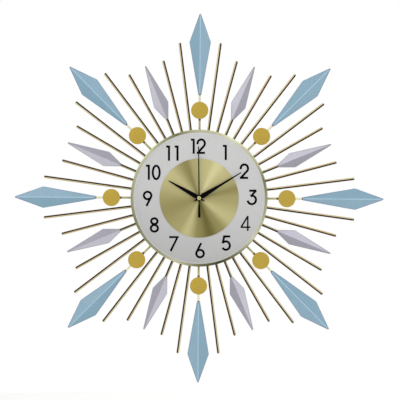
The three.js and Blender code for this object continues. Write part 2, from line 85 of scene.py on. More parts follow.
SPOKES = 48
PITCH = 360 / SPOKES
ROD_RADIUS = 2.5
ROD_DEPTH = 2.55
ROD_START = 100.0
LONG_TIP = 298.0
SHORT_TIP = 270.5

(_, DISC_RADIUS), (STEM_START, STEM_END), (_, DISC_FRONT) = extent("disc_stem_1")
DISC_BACK = DISC_FRONT - 1.5
DISC_CENTRE = 166.7
STEM_RADIUS = 2.0
STEM_DEPTH = 6.82
# The stems swell at these collars, where they meet the disc and the kite, and are painted dark there as
# painted shade.
STEM_COLLARS = [DISC_CENTRE - DISC_RADIUS - 1.0, extent("blue_kite_1")[1][0] + 0.5]
# Along this stretch the stems' painted shade fades, from the darker inner part to the paler outer part.
STEM_SHADE_FADE = (150.0, 182.0)
COLLAR_HALF = 1.3
COLLAR_SLOPE = 0.9
COLLAR_SWELL = 1.15
WELD = (5.0, 2.2, 1.1)

# A kite's outline along and across its spoke, the height and half-width of its fold, and its tip's radius.
Kite = namedtuple("Kite", "root widest tip half_width ridge ridge_half tip_round")
(_, blue_half), (blue_root, blue_tip), (_, blue_ridge) = extent("blue_kite_1")
BLUE = Kite(blue_root, 296.5, blue_tip, blue_half, blue_ridge, 0.8, 2.2)
MAUVE = Kite(162.4, 191.5, 271.0, 14.8, extent("mauve_kite_1")[2][1], 0.35, 1.8)
KITE_ROOT_HALF = 3.1
CORNER_EASE = 2.0
FOLD_SLOPE = 0.229
SHEET = 1.2

RING_INNER = 100.0
RING_OUTER = 122.0
RING_BACK = 4.2
RING_FRONT = 6.2
SCREW_CENTRES = [middle(f"frame_screw_{number}") for number in (1, 2, 3)]

(_, DIAL_RADIUS), _, (DIAL_BACK, DIAL_FRONT) = extent("dial_face")
(_, DRUM_RADIUS), _, (DRUM_BACK, DRUM_FRONT) = extent("case_drum")
(_, BEZEL_RADIUS), _, (_, BEZEL_FRONT) = extent("bezel_ring")
(_, CENTRE_RADIUS), _, (_, CENTRE_FRONT) = extent("centre_disc")
BEZEL_INSIDE = 125.0
CENTRE_HOLE = 5.1

# How much painted light the golds get round the clock, from 0 in painted shade to 1 in painted highlight, by
# clock angle in degrees.
RAYS = {
    0: 0.75, 15: 0.8, 28: 1.0, 45: 0.8, 60: 0.7, 75: 0.35, 90: 0.55, 125: 0.8, 145: 0.35, 163: 0.0,
    180: 0.3, 200: 0.8, 215: 0.55, 250: 0.4, 310: 0.8, 340: 0.3, 350: 0.6,
}

NUMERAL_WIDTH = 4.05
THIN_WIDTH = 2.9  # the 4 is printed more faintly
NUMERAL_TURN = -0.35
NUMERAL_CIRCLE = 99.2
NUMERAL_HEIGHT = 0.18

BLADE_WIDEST = 9.0
BLADE_TIP_HALF = 0.9
BLADE_EYE = 5.8
BLADE_TAIL = 13.5
HOUR_TURN = 299.2
MINUTE_TURN = 58.3
SECOND_TURN = -1.0

(BATTERY_LEFT, BATTERY_NUB), (BATTERY_BOTTOM, BATTERY_TOP), (BATTERY_BACK, _) = extent("battery")
BATTERY_RIGHT = BATTERY_NUB - 1.3


# ---------------- node trees
def linear(colour):
    """The linear colour that a socket holds, from a display colour. A socket stays as it is."""
    if isinstance(colour, bpy.types.NodeSocket):
        return colour
    shares = [value / 255 for value in colour]
    bright = [share / 12.92 if share <= 0.04045 else ((share + 0.055) / 1.055) ** 2.4 for share in shares]
    return (*bright, 1.0)


class Nodes:
    """A node tree, with methods that add a node to it."""

    def __init__(self, tree):
        self.tree = tree

    def connect(self, socket, source):
        if isinstance(source, bpy.types.NodeSocket):
            self.tree.links.new(source, socket)
        else:
            socket.default_value = source

    def add(self, kind, sources, **settings):
        node = self.tree.nodes.new("ShaderNode" + kind)
        for setting, value in settings.items():
            setattr(node, setting, value)
        for socket, source in sources.items():
            self.connect(node.inputs[socket], source)
        return node

    def range(self, value, low, high, from_low=0.0, from_high=1.0):
        sources = {"Value": value, "From Min": from_low, "From Max": from_high, "To Min": low, "To Max": high}
        return self.add("MapRange", sources).outputs["Result"]


class Paint(Nodes):
    """One Principled material. Its methods give back the output socket, and a colour may be a socket too."""

    def __init__(self, name, roughness=0.5, metallic=0.0, specular=0.5, coat=0.0):
        self.material = bpy.data.materials.new(name)
        self.material.use_nodes = True
        super().__init__(self.material.node_tree)
        self.shader = self.tree.nodes["Principled BSDF"]
        self.feed("Roughness", roughness)
        self.feed("Metallic", metallic)
        self.feed("Specular IOR Level", specular)
        self.feed("Coat Weight", coat)

    def feed(self, socket, source):
        self.connect(self.shader.inputs[socket], source)

    def sums(self, operation, *values, clamp=False):
        return self.add("Math", dict(enumerate(values)), operation=operation, use_clamp=clamp).outputs[0]

    def own(self):
        """The clock coordinates of a piece before it was turned to its place, in metres, as x, y and z."""
        attribute = self.add("Attribute", {}, attribute_name="own")
        return self.add("SeparateXYZ", {0: attribute.outputs["Vector"]}).outputs

    def distance(self):
        """The distance from the hands' axis, in metres."""
        x, y, _ = self.own()
        squares = self.sums("ADD", self.sums("MULTIPLY", x, x), self.sums("MULTIPLY", y, y))
        return self.sums("SQRT", squares)

    def place(self):
        """The place in the row frame, in metres."""
        return self.add("TexCoord", {}).outputs["Object"]

    def noise(self, scale, detail=3.0, roughness=0.55, vector=None):
        sources = {"Vector": vector or self.place(), "Scale": scale, "Detail": detail, "Roughness": roughness}
        return self.add("TexNoise", sources).outputs["Fac"]

    def ramp(self, value, stops, interpolation="LINEAR"):
        """A colour by value, from (value, colour) stops."""
        node = self.add("ValToRGB", {"Fac": value})
        elements = node.color_ramp.elements
        node.color_ramp.interpolation = interpolation
        while len(elements) < len(stops):
            elements.new(1.0)
        for element, (position, colour) in zip(elements, stops):
            element.position = position
            element.color = linear(colour)
        return node.outputs["Color"]

    def mix(self, share, one, two):
        node = self.add("Mix", {"Factor": share}, data_type="RGBA")
        colours = [socket for socket in node.inputs if socket.type == "RGBA"]
        self.connect(colours[0], linear(one))
        self.connect(colours[1], linear(two))
        return next(socket for socket in node.outputs if socket.type == "RGBA")

    def scaled(self, colour, factor):
        """The colour, made lighter or darker by the factor."""
        start = linear(colour)
        if isinstance(start, tuple):
            start = start[:3]
        return self.add("VectorMath", {0: start, "Scale": factor}, operation="SCALE").outputs[0]

    def varied(self, colour, spread, scale):
        """The colour, a little lighter and darker in soft patches."""
        return self.scaled(colour, self.range(self.noise(scale), 1 - spread, 1 + spread, 0.3, 0.7))

    def bump(self, height, strength, distance=0.0001):
        sources = {"Height": height, "Strength": strength, "Distance": distance}
        self.feed("Normal", self.add("Bump", sources).outputs[0])

    def finish(self, grain, low, high, strength):
        """Lets one fine grain set the roughness and the relief, and gives back the material."""
        self.feed("Roughness", self.range(grain, low, high))
        self.bump(grain, strength)
        return self.material


# ---------------- camera, light and floor
VIEW_WIDTH = 0.7618
VIEW_DISTANCE = 3.5
VIEW_CENTRE = (0.0017, -0.0036)
VIEW_ROLL = -0.38
SENSOR = 36.0
SKY_LOW = 0.72
SKY_HIGH = 0.92
FLOOR_RADIUS = 2.4
FLOOR_DROP = 0.27


def make_camera():
    data = bpy.data.cameras.new("camera")
    data.sensor_width = SENSOR
    data.lens = SENSOR * VIEW_DISTANCE / VIEW_WIDTH
    camera = bpy.data.objects.new("camera", data)
    camera.location = (VIEW_CENTRE[0], -VIEW_DISTANCE, VIEW_CENTRE[1])
    camera.rotation_euler = (math.radians(90), math.radians(VIEW_ROLL), 0)
    scene.collection.objects.link(camera)
    scene.camera = camera


def make_world():
    """White behind the object, and a soft studio that is brighter above than below for all other light."""
    world = bpy.data.worlds.new("studio")
    scene.world = world
    world.use_nodes = True
    nodes = Nodes(world.node_tree)
    place = nodes.add("TexCoord", {}).outputs["Generated"]
    height = nodes.add("SeparateXYZ", {0: place}).outputs["Z"]
    soft = world.node_tree.nodes["Background"]
    nodes.connect(soft.inputs["Color"], nodes.range(height, SKY_LOW, SKY_HIGH, -1, 1))
    nodes.connect(soft.inputs["Strength"], 1.0)
    white = nodes.add("Background", {"Color": (1, 1, 1, 1), "Strength": 1.0})
    seen = nodes.add("LightPath", {}).outputs["Is Camera Ray"]
    chosen = nodes.add("MixShader", {0: seen, 1: soft.outputs[0], 2: white.outputs[0]})
    nodes.connect(world.node_tree.nodes["World Output"].inputs["Surface"], chosen.outputs[0])


def make_light(name, place, size, power):
    data = bpy.data.lights.new(name, "AREA")
    data.shape = "DISK"
    data.size = size
    data.energy = power
    lamp = bpy.data.objects.new(name, data)
    lamp.location = place
    lamp.rotation_euler = (-Vector(place)).to_track_quat("-Z", "Y").to_euler()
    scene.collection.objects.link(lamp)


def make_floor(material):
    height = cad_box[0].z - FLOOR_DROP
    corners = [(x, y, height) for x, y in circle(FLOOR_RADIUS, 96)]
    mesh = bpy.data.meshes.new("floor")
    mesh.from_pydata(corners, [], [tuple(range(len(corners)))])
    mesh.materials.append(material)
    floor = bpy.data.objects.new("floor", mesh)
    scene.collection.objects.link(floor)


# ---------------- materials
def gold_rod(name, pale, middle_tone, dark):
    """Drawn rod, lacquered gold, with painted shade along its clockwise flank and a painted highlight beside
    it.
    """
    paint = Paint(name, metallic=0.25, specular=0.15)
    across = paint.range(paint.own()[0], 0.0, 1.0, -ROD_RADIUS * MM, ROD_RADIUS * MM)
    wander = paint.range(paint.noise(60, 2), -0.035, 0.035)
    # Across the rod from its anticlockwise edge: painted edge shade, the painted highlight, a middle tone and
    # the painted shade on the clockwise flank.
    stops = [
        (0.0, (140, 114, 76)), (0.12, (188, 164, 112)), (0.21, pale), (0.33, pale), (0.40, middle_tone),
        (0.48, dark), (1.0, dark),
    ]
    shade = paint.ramp(paint.sums("ADD", across, wander), stops)
    paint.feed("Base Color", paint.varied(shade, 0.06, 90))
    paint.feed("Roughness", paint.range(paint.noise(700), 0.3, 0.46))
    paint.bump(paint.noise(900), 0.08, 0.0002)
    return paint.material


def gold_stem():
    """Thin pale gold wire with painted shade: darker towards the hub, and dark at its collars."""
    paint = Paint("gold_stem", metallic=0.55, specular=0.4)
    y = paint.own()[1]
    collar_shade = []
    for collar in STEM_COLLARS:
        away = paint.sums("ABSOLUTE", paint.sums("SUBTRACT", y, collar * MM))
        collar_shade.append(paint.range(away, 1.0, 0.0, 1.6 * MM, 3.0 * MM))
    outer = paint.range(y, 0.0, 1.0, *[place * MM for place in STEM_SHADE_FADE])
    gold = paint.varied(paint.mix(outer, (182, 175, 120), (222, 219, 186)), 0.05, 80)
    paint.feed("Base Color", paint.mix(paint.sums("MAXIMUM", *collar_shade), gold, (96, 66, 34)))
    paint.feed("Roughness", paint.range(paint.noise(700), 0.32, 0.48))
    paint.bump(paint.noise(900), 0.08, 0.0002)
    return paint.material


def gold_disc():
    """Satin gold sheet with a fine grain."""
    paint = Paint("gold_disc", metallic=0.45, specular=0.35)
    grain = paint.noise(1500, 2)
    glints = paint.range(grain, 0.0, 0.12, 0.35, 0.75)
    paint.feed("Base Color", paint.mix(glints, paint.varied((181, 154, 58), 0.03, 55), (226, 204, 120)))
    return paint.finish(grain, 0.42, 0.58, 0.12)


def folded_paint(name, sizes, left, right, ridge, line_half, edge):
    """Satin lacquer on a folded sheet: halves in painted light and shade, a painted highlight on the fold and
    painted shade on the edges, stronger towards the tip.
    """
    paint = Paint(name, roughness=0.45, specular=0.3, coat=0.08)
    x, y, _ = paint.own()
    half = paint.sums("ABSOLUTE", x)
    inward = paint.range(y, 0.0, sizes.half_width * MM, sizes.root * MM, sizes.widest * MM)
    outward = paint.range(y, sizes.half_width * MM, 0.0, sizes.widest * MM, sizes.tip * MM)
    room = paint.sums("SUBTRACT", paint.sums("MINIMUM", inward, outward), half)
    # The two halves: one painted lighter as if lit, the other painted darker as if shaded.
    painted_halves = paint.mix(paint.range(x, 0.0, 1.0, -0.15 * MM, 0.15 * MM), left, right)
    # A painted highlight along the fold, line_half wide on each side.
    ridge_highlight = paint.range(half, 1.0, 0.0, line_half * MM, (line_half + 0.35) * MM)
    body = paint.mix(ridge_highlight, paint.varied(painted_halves, 0.025, 35), ridge)
    # Painted shade along the rounded edges, stronger towards the tip.
    edge_shade = paint.range(room, 0.75, 0.0, 0.1 * MM, 1.5 * MM)
    outer = paint.range(y, 0.0, 0.7, (sizes.widest - 8) * MM, sizes.tip * MM)
    edge_shade = paint.sums("MULTIPLY", edge_shade, paint.sums("ADD", outer, 0.45), clamp=True)
    paint.feed("Base Color", paint.mix(edge_shade, body, edge))
    return paint.finish(paint.noise(1100, 2), 0.38, 0.54, 0.06)


def sheen(paint, dark, pale, interpolation="LINEAR"):
    """Rays of light and shade round the clock, from a dark gold to a pale one. The ramp closes on itself."""
    x, y, _ = paint.own()
    turn = paint.sums("FRACT", paint.sums("DIVIDE", paint.sums("ARCTAN2", x, y), 2 * math.pi))
    stops = []
    for angle, light in {**RAYS, 360: RAYS[0]}.items():
        stops.append((angle / 360, tuple(low + (high - low) * light for low, high in zip(dark, pale))))
    return paint.ramp(turn, stops, interpolation)


def spun_gold():
    """Spun metal: rays of light and shade from the middle, and fine rings left by the tool."""
    paint = Paint("spun_gold", metallic=0.5, specular=0.4)
    ring = paint.add("CombineXYZ", {"X": paint.distance()}).outputs[0]
    tooling = paint.noise(2600, 4, 0.7, ring)
    rays = sheen(paint, (106, 98, 46), (212, 204, 152), "EASE")
    paint.feed("Base Color", paint.scaled(rays, paint.range(tooling, 0.93, 1.07, 0.25, 0.75)))
    return paint.finish(tooling, 0.3, 0.44, 0.15)


def rim_gold():
    """The polished rim, whose light and shade run round it."""
    paint = Paint("rim_gold", metallic=0.5, specular=0.4)
    paint.feed("Base Color", paint.varied(sheen(paint, (54, 53, 19), (230, 229, 195)), 0.03, 60))
    return paint.finish(paint.noise(1400), 0.26, 0.4, 0.06)


def grey_face():
    """Matt printed sheet with painted light: a little lighter towards the upper right and along the rim."""
    paint = Paint("grey_face", roughness=0.7, specular=0.2)
    x, y, _ = paint.own()
    # Painted light, lighter towards the upper right.
    slope = paint.sums("ADD", paint.sums("MULTIPLY", x, 0.28), y)
    height = paint.range(slope, 0.0, 1.0, -DIAL_RADIUS * MM, DIAL_RADIUS * MM)
    shade = paint.ramp(height, [(0.0, (174, 174, 174)), (0.5, (190, 190, 190)), (1.0, (194, 194, 194))])
    # Painted light along the rim.
    rim_light = paint.range(paint.distance(), 0.0, 0.5, (BEZEL_INSIDE - 3.5) * MM, BEZEL_INSIDE * MM)
    paint.feed("Base Color", paint.varied(paint.mix(rim_light, shade, (232, 232, 230)), 0.012, 40))
    return paint.finish(paint.noise(1800), 0.6, 0.78, 0.05)


def lacquer(name, colour, lift, roughness, specular=0.2):
    """Thin paint or ink with a faint orange-peel surface."""
    paint = Paint(name, specular=specular)
    paint.feed("Base Color", paint.mix(paint.range(paint.noise(160, 2), 0.0, 1.0, 0.3, 0.7), colour, lift))
    return paint.finish(paint.noise(1300, 2), roughness - 0.08, roughness + 0.08, 0.08)


def moulded(name, colour, lift, roughness=0.52, specular=0.35):
    """Moulded plastic with a spark-eroded grain and a few paler rubbed patches."""
    paint = Paint(name, specular=specular)
    paint.feed("Base Color", paint.mix(paint.range(paint.noise(45, 5), 0.0, 0.6, 0.52, 0.72), colour, lift))
    return paint.finish(paint.noise(2400, 2), roughness - 0.1, roughness + 0.1, 0.25)


def metal(name, colour, dull, roughness):
    """Bare metal with a fine grain and a duller film in patches."""
    paint = Paint(name, metallic=0.9, specular=0.5)
    paint.feed("Base Color", paint.mix(paint.range(paint.noise(70, 4), 0.0, 0.7, 0.45, 0.7), colour, dull))
    return paint.finish(paint.noise(900), roughness - 0.1, roughness + 0.12, 0.12)


def copper_wire():
    """Enamelled wire wound in tight turns along the coil."""
    paint = Paint("copper_wire", metallic=0.7, roughness=0.35)
    sources = {"Vector": paint.place(), "Scale": 900, "Distortion": 0.2}
    # Painted shade in the grooves between the turns and a painted highlight on each turn.
    wire = paint.add("TexWave", sources, bands_direction="X").outputs["Fac"]
    paint.feed("Base Color", paint.mix(wire, (110, 52, 22), (206, 128, 70)))
    paint.bump(wire, 0.5)
    return paint.material


def board():
    """Green solder mask with paler tracks under it."""
    paint = Paint("board", roughness=0.4, specular=0.5)
    cells = paint.add("TexVoronoi", {"Vector": paint.place(), "Scale": 420}, distance="CHEBYCHEV")
    tracks = paint.range(cells.outputs["Distance"], 1.0, 0.0, 0.32, 0.4)
    paint.feed("Base Color", paint.mix(tracks, paint.varied((38, 92, 54), 0.08, 300), (72, 132, 80)))
    paint.bump(tracks, 0.2)
    return paint.material


def battery_sleeve():
    """Printed sleeve: slate blue with a pale band at the positive end and a thin line beside it."""
    paint = Paint("battery_sleeve", specular=0.5, coat=0.3)
    x = paint.own()[0]
    band = paint.range(x, 0.0, 1.0, (BATTERY_RIGHT - 11.2) * MM, (BATTERY_RIGHT - 11.0) * MM)
    away = paint.sums("ABSOLUTE", paint.sums("SUBTRACT", x, (BATTERY_RIGHT - 12.6) * MM))
    line = paint.range(away, 1.0, 0.0, 0.35 * MM, 0.45 * MM)
    body = paint.varied((52, 72, 92), 0.05, 60)
    paint.feed("Base Color", paint.mix(paint.sums("MAXIMUM", band, line), body, (196, 200, 204)))
    paint.feed("Roughness", paint.range(paint.noise(600), 0.28, 0.4))
    paint.bump(paint.noise(300), 0.05)
    return paint.material


# ---------------- shapes
def arc(centre, radius_x, radius_y, start, end, steps):
    """Points on an ellipse between two angles, in degrees anticlockwise from +x, both ends included."""
    turns = [math.radians(start + (end - start) * i / steps) for i in range(steps + 1)]
    return [(centre[0] + radius_x * math.cos(t), centre[1] + radius_y * math.sin(t)) for t in turns]


def circle(radius, steps, centre=(0.0, 0.0)):
    """Points round a circle, anticlockwise from +x."""
    return arc(centre, radius, radius, 0, 360, steps)[:-1]


def rectangle(left, bottom, right, top):
    return [(left, bottom), (right, bottom), (right, top), (left, top)]


def rounded(points, radius, steps=3):
    """The closed outline with each corner eased over the given distance from it."""
    result = []
    for i, point in enumerate(points):
        corner = Vector(point)
        before = Vector(points[i - 1]) - corner
        after = Vector(points[(i + 1) % len(points)]) - corner
        start = corner + before.normalized() * min(radius, before.length * 0.49)
        end = corner + after.normalized() * min(radius, after.length * 0.49)
        for step in range(steps + 1):
            share = step / steps
            result.append(tuple(start.lerp(corner, share).lerp(corner.lerp(end, share), share)))
    return result


def plate(outline, low, high, holes=()):
    """A flat solid between two depths. Holes are closed outlines inside it."""
    loops = [list(outline), *[list(hole) for hole in holes]]
    points = [point for loop in loops for point in loop]
    shape = bmesh.new()
    bottom = [shape.verts.new((x, y, low)) for x, y in points]
    top = [shape.verts.new((x, y, high)) for x, y in points]
    faces = [tuple(range(len(points)))]
    if holes:
        faces = tessellate_polygon([[Vector((x, y, 0)) for x, y in loop] for loop in loops])
    for face in faces:
        shape.faces.new([top[i] for i in face])
        shape.faces.new([bottom[i] for i in reversed(face)])
    first = 0
    for loop in loops:
        for i in range(len(loop)):
            a = first + i
            b = first + (i + 1) % len(loop)
            shape.faces.new((bottom[a], bottom[b], top[b], top[a]))
        first += len(loop)
    bmesh.ops.recalc_face_normals(shape, faces=shape.faces)
    return shape


def turned(section, steps, axis="z", closed=False):
    """A section of (radius, place along the axis) points, turned round the z or the y axis.
    An open section starts and ends on the axis."""
    shape = bmesh.new()
    rings = []
    for radius, along in section:
        if radius < 1e-6:
            tip = (0, 0, along) if axis == "z" else (0, along, 0)
            rings.append([shape.verts.new(tip)] * steps)
            continue
        places = [(a, b, along) if axis == "z" else (a, along, b) for a, b in circle(radius, steps)]
        rings.append([shape.verts.new(place) for place in places])
    pairs = list(zip(rings, rings[1:]))
    if closed:
        pairs.append((rings[-1], rings[0]))
    for one, other in pairs:
        for i in range(steps):
            j = (i + 1) % steps
            corners = list(dict.fromkeys([one[i], one[j], other[j], other[i]]))
            if len(corners) > 2:
                shape.faces.new(corners)
    bmesh.ops.recalc_face_normals(shape, faces=shape.faces)
    return shape


def hoop(inner, outer, back, front, ease, facets, steps=3):
    """A flat ring round the z axis, with eased edges."""
    return turned(rounded(rectangle(inner, back, outer, front), ease, steps), facets, closed=True)


def lofted(sections, closed=False):
    """A solid through loops of points, one after the other, with an end cap on the first and the last.
    A closed one runs from the last loop back to the first instead."""
    shape = bmesh.new()
    loops = [[shape.verts.new(point) for point in section] for section in sections]
    pairs = list(zip(loops, loops[1:]))
    if closed:
        pairs.append((loops[-1], loops[0]))
    for one, other in pairs:
        for i in range(len(one)):
            j = (i + 1) % len(one)
            shape.faces.new((one[i], one[j], other[j], other[i]))
    if not closed:
        shape.faces.new(loops[0])
        shape.faces.new(list(reversed(loops[-1])))
    bmesh.ops.recalc_face_normals(shape, faces=shape.faces)
    return shape


def swept(path, radius):
    """A round wire along a path of points, closed at both ends."""
    points = [Vector(point) for point in path]
    sections = []
    side = Vector((0.31, 0.47, 0.83))
    for i, point in enumerate(points):
        ahead = (points[min(i + 1, len(points) - 1)] - points[max(i - 1, 0)]).normalized()
        side = (side - ahead * side.dot(ahead)).normalized()
        other = ahead.cross(side)
        sections.append([point + a * side + b * other for a, b in circle(radius, 10)])
    return lofted(sections)


def ribbon(path, width, low, high):
    """A flat stroke of even width along a centre line, with square ends where the line doesn't close."""
    points = [Vector(point) for point in path]
    closed = (points[0] - points[-1]).length < 1e-5
    if closed:
        points.pop()
    count = len(points)
    sections = []
    for i, point in enumerate(points):
        before = points[i - 1] if closed or i > 0 else None
        after = points[(i + 1) % count] if closed or i < count - 1 else None
        into = (point - before).normalized() if before else (after - point).normalized()
        out = (after - point).normalized() if after else into
        along = (into + out).normalized()
        across = Vector((-along.y, along.x)) * (width / 2 / max(along.dot(into), 0.6))
        left = point + across
        right = point - across
        sections.append([(*left, low), (*right, low), (*right, high), (*left, high)])
    return lofted(sections, closed)


def eased(shape, width):
    """Rounds every edge that turns by more than 50 degrees."""
    sharp = [edge for edge in shape.edges if edge.calc_face_angle(0) > math.radians(50)]
    bmesh.ops.bevel(
        shape, geom=sharp, offset=width, offset_type="OFFSET", segments=2, profile=0.5, affect="EDGES",
        clamp_overlap=True,
    )
    bmesh.ops.recalc_face_normals(shape, faces=shape.faces)
    return shape


def moved(shape, matrix):
    bmesh.ops.transform(shape, matrix=matrix, verts=shape.verts)
    return shape


def shifted(shape, x=0.0, y=0.0, z=0.0):
    return moved(shape, Matrix.Translation((x, y, z)))


def clockwise(degrees):
    """The turn round the hands' axis."""
    return Matrix.Rotation(math.radians(-degrees), 4, "Z")


def as_mesh(shape, name="part"):
    """A mesh from a shape, which is used up."""
    mesh = bpy.data.meshes.new(name)
    shape.to_mesh(mesh)
    shape.free()
    return mesh


def together(*shapes):
    """Several solids in one shape, left apart."""
    result = bmesh.new()
    for shape in shapes:
        mesh = as_mesh(shape)
        result.from_mesh(mesh)
        bpy.data.meshes.remove(mesh)
    return result


def combined(base, tools, operation):
    """The base joined with, cut by or cut down to each tool in turn: UNION, DIFFERENCE or INTERSECT."""
    for tool in tools:
        pair = []
        for shape in (base, tool):
            pair.append(bpy.data.objects.new("part", as_mesh(shape)))
            scene.collection.objects.link(pair[-1])
        modifier = pair[0].modifiers.new("combine", "BOOLEAN")
        modifier.object = pair[1]
        modifier.operation = operation
        modifier.solver = "EXACT"
        bpy.context.view_layer.update()
        graph = bpy.context.evaluated_depsgraph_get()
        result = bpy.data.meshes.new_from_object(pair[0].evaluated_get(graph))
        base = bmesh.new()
        base.from_mesh(result)
        bpy.data.meshes.remove(result)
        for piece in pair:
            mesh = piece.data
            bpy.data.objects.remove(piece)
            bpy.data.meshes.remove(mesh)
    bmesh.ops.remove_doubles(base, verts=base.verts, dist=1e-4)
    bmesh.ops.dissolve_degenerate(base, edges=base.edges, dist=1e-5)
    bmesh.ops.recalc_face_normals(base, faces=base.faces)
    return base


def add_piece(name, shape, material, slot, *replaces, body="case", turn=0.0, crease=32):
    """Puts a finished shape in its place as a piece that rides on a CAD body."""
    for face in shape.faces:
        face.smooth = True
    for edge in shape.edges:
        edge.smooth = edge.calc_face_angle(0) < math.radians(crease)
    mesh = as_mesh(shape, name)
    own = mesh.attributes.new("own", "FLOAT_VECTOR", "POINT")
    own.data.foreach_set("vector", [value * MM for vertex in mesh.vertices for value in vertex.co])
    mesh.transform(UPRIGHT @ clockwise(turn))
    mesh.materials.append(material)
    piece = bpy.data.objects.new(name, mesh)
    scene.collection.objects.link(piece)
    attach(piece, body)
    if replaces:
        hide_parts(*replaces)


# ---------------- the star
def round_end(radius, end, inward):
    """Section points of a rounded rod end, from the side of the rod to its axis."""
    bulge = inward * radius * 0.7
    return arc((0.0, end - bulge), radius, bulge, 0, 90, 4)


def rod(radius, start, end, depth, collars=()):
    """A round rod along y with rounded ends and a swelling at each collar."""
    section = list(reversed(round_end(radius, start, -1)))
    for collar in collars:
        foot = COLLAR_HALF + COLLAR_SLOPE
        swollen = radius * COLLAR_SWELL
        section += [(radius, collar - foot), (swollen, collar - COLLAR_HALF)]
        section += [(swollen, collar + COLLAR_HALF), (radius, collar + foot)]
    section += round_end(radius, end, 1)
    section[0] = (0.0, section[0][1])
    section[-1] = (0.0, section[-1][1])
    return shifted(turned(section, 16, axis="y"), z=depth)


def fold_section(half, ridge, ridge_half):
    """The closed section across a folded sheet: front from left to right, then the back."""
    flat = min(ridge_half, half * 0.3)
    lip = min(0.35, half * 0.25)
    front = [(-half, -0.45), (lip * 0.3 - half, -0.12), (lip - half, 0.0), (-flat, 0.0), (-flat * 0.35, 0.1)]
    front += [(-x, lift) for x, lift in reversed(front)]
    back = [(half, -SHEET + 0.45), (half - lip * 0.3, -SHEET + 0.12), (half - lip, -SHEET), (flat, -SHEET)]
    back += [(-x, drop) for x, drop in reversed(back)]
    return [(x, ridge - abs(x) * FOLD_SLOPE + lift - 0.1) for x, lift in front + back]


def folded_kite(sizes):
    """A sheet folded along its ridge, with rounded edges, eased side corners and a rounded tip."""
    tip_half = sizes.tip_round * 0.9
    inner = Vector((KITE_ROOT_HALF, sizes.root))
    corner = Vector((sizes.half_width, sizes.widest))
    outer = Vector((tip_half, sizes.tip - sizes.tip_round))
    stations = [inner, inner.lerp(corner, 0.5)]
    near = corner + (inner - corner).normalized() * CORNER_EASE
    far = corner + (outer - corner).normalized() * CORNER_EASE
    for share in (0.0, 0.25, 0.5, 0.75, 1.0):
        stations.append(near.lerp(corner, share).lerp(corner.lerp(far, share), share))
    stations += [corner.lerp(outer, 0.5), outer]
    for degrees in (25, 50, 70, 84):
        turn = math.radians(degrees)
        stations.append((tip_half * math.cos(turn), sizes.tip - sizes.tip_round * (1 - math.sin(turn))))
    sections = []
    for half, along in stations:
        section = fold_section(half, sizes.ridge, sizes.ridge_half)
        sections.append([(x, along, z) for x, z in section])
    return lofted(sections)


def bead(length, width, height):
    """A low oval bead of weld or solder, flat side down on z = 0."""
    section = [(0.0, -0.3), (1.0, -0.3), (1.0, 0.0), (0.92, 0.4), (0.7, 0.74), (0.38, 0.94), (0.0, 1.0)]
    return moved(turned(section, 12), Matrix.Diagonal((width / 2, length / 2, height, 1)))


def make_rods():
    """The plain rods and the mauve kites' rods: five between each two of the gold discs' stems."""
    # Each coat's tones are the rod's painted highlight, its middle tone and the painted shade on its
    # clockwise flank.
    coats = {
        "long": gold_rod("long_rod_gold", (218, 208, 166), (176, 156, 106), (42, 24, 10)),
        "short": gold_rod("short_rod_gold", (204, 190, 146), (172, 151, 102), (58, 37, 18)),
        "kite": gold_rod("kite_rod_gold", (192, 184, 144), (158, 146, 100), (30, 18, 8)),
    }
    kinds = {1: ("long", LONG_TIP), 2: ("short", SHORT_TIP), 3: ("kite", MAUVE.root + 20)}
    numbers = dict.fromkeys(coats, 0)
    for i in range(SPOKES):
        place = i % 6
        if place == 0:
            continue
        kind, tip = kinds[min(place, 6 - place)]
        numbers[kind] += 1
        shape = rod(ROD_RADIUS, ROD_START, tip, ROD_DEPTH)
        name = f"{kind}_rod_{numbers[kind]:02d}"
        add_piece(name, shape, coats[kind], "gold_rod", "spoke_frame", turn=i * PITCH)


def make_kites():
    """The stems with their gold discs, and both rings of kites."""
    pale = gold_stem()
    satin = gold_disc()
    # Each paint: the tones of its left and right halves in painted light and shade, the painted highlight on
    # the fold, that line's half-width and the painted edge shade.
    blue = folded_paint(
        "blue_paint", BLUE, (127, 160, 178), (135, 165, 183), (168, 200, 218), 0.45, (122, 132, 156),
    )
    mauve = folded_paint(
        "mauve_paint", MAUVE, (190, 189, 200), (154, 153, 165), (168, 167, 178), 0.3, (150, 148, 158),
    )
    for number in range(1, 9):
        turn = 6 * (number - 1) * PITCH
        node = f"disc_stem_{number}"
        stem = rod(STEM_RADIUS, STEM_START, STEM_END, STEM_DEPTH, STEM_COLLARS)
        add_piece(f"stem_{number}", stem, pale, "gold_disc", node, turn=turn)
        section = rounded(rectangle(0.0, DISC_BACK, DISC_RADIUS, DISC_FRONT), 0.4)
        section = [point for point in section if point[0] > 0.5]
        disc = turned([(0.0, DISC_BACK), *section, (0.0, DISC_FRONT)], 64)
        add_piece(f"gold_disc_{number}", shifted(disc, y=DISC_CENTRE), satin, "gold_disc", node, turn=turn)
        node = f"blue_kite_{number}"
        add_piece(node + "_sheet", folded_kite(BLUE), blue, "blue_paint", node, turn=turn)
        node = f"mauve_kite_{number}"
        add_piece(node + "_sheet", folded_kite(MAUVE), mauve, "mauve_paint", node, turn=turn + 3 * PITCH)


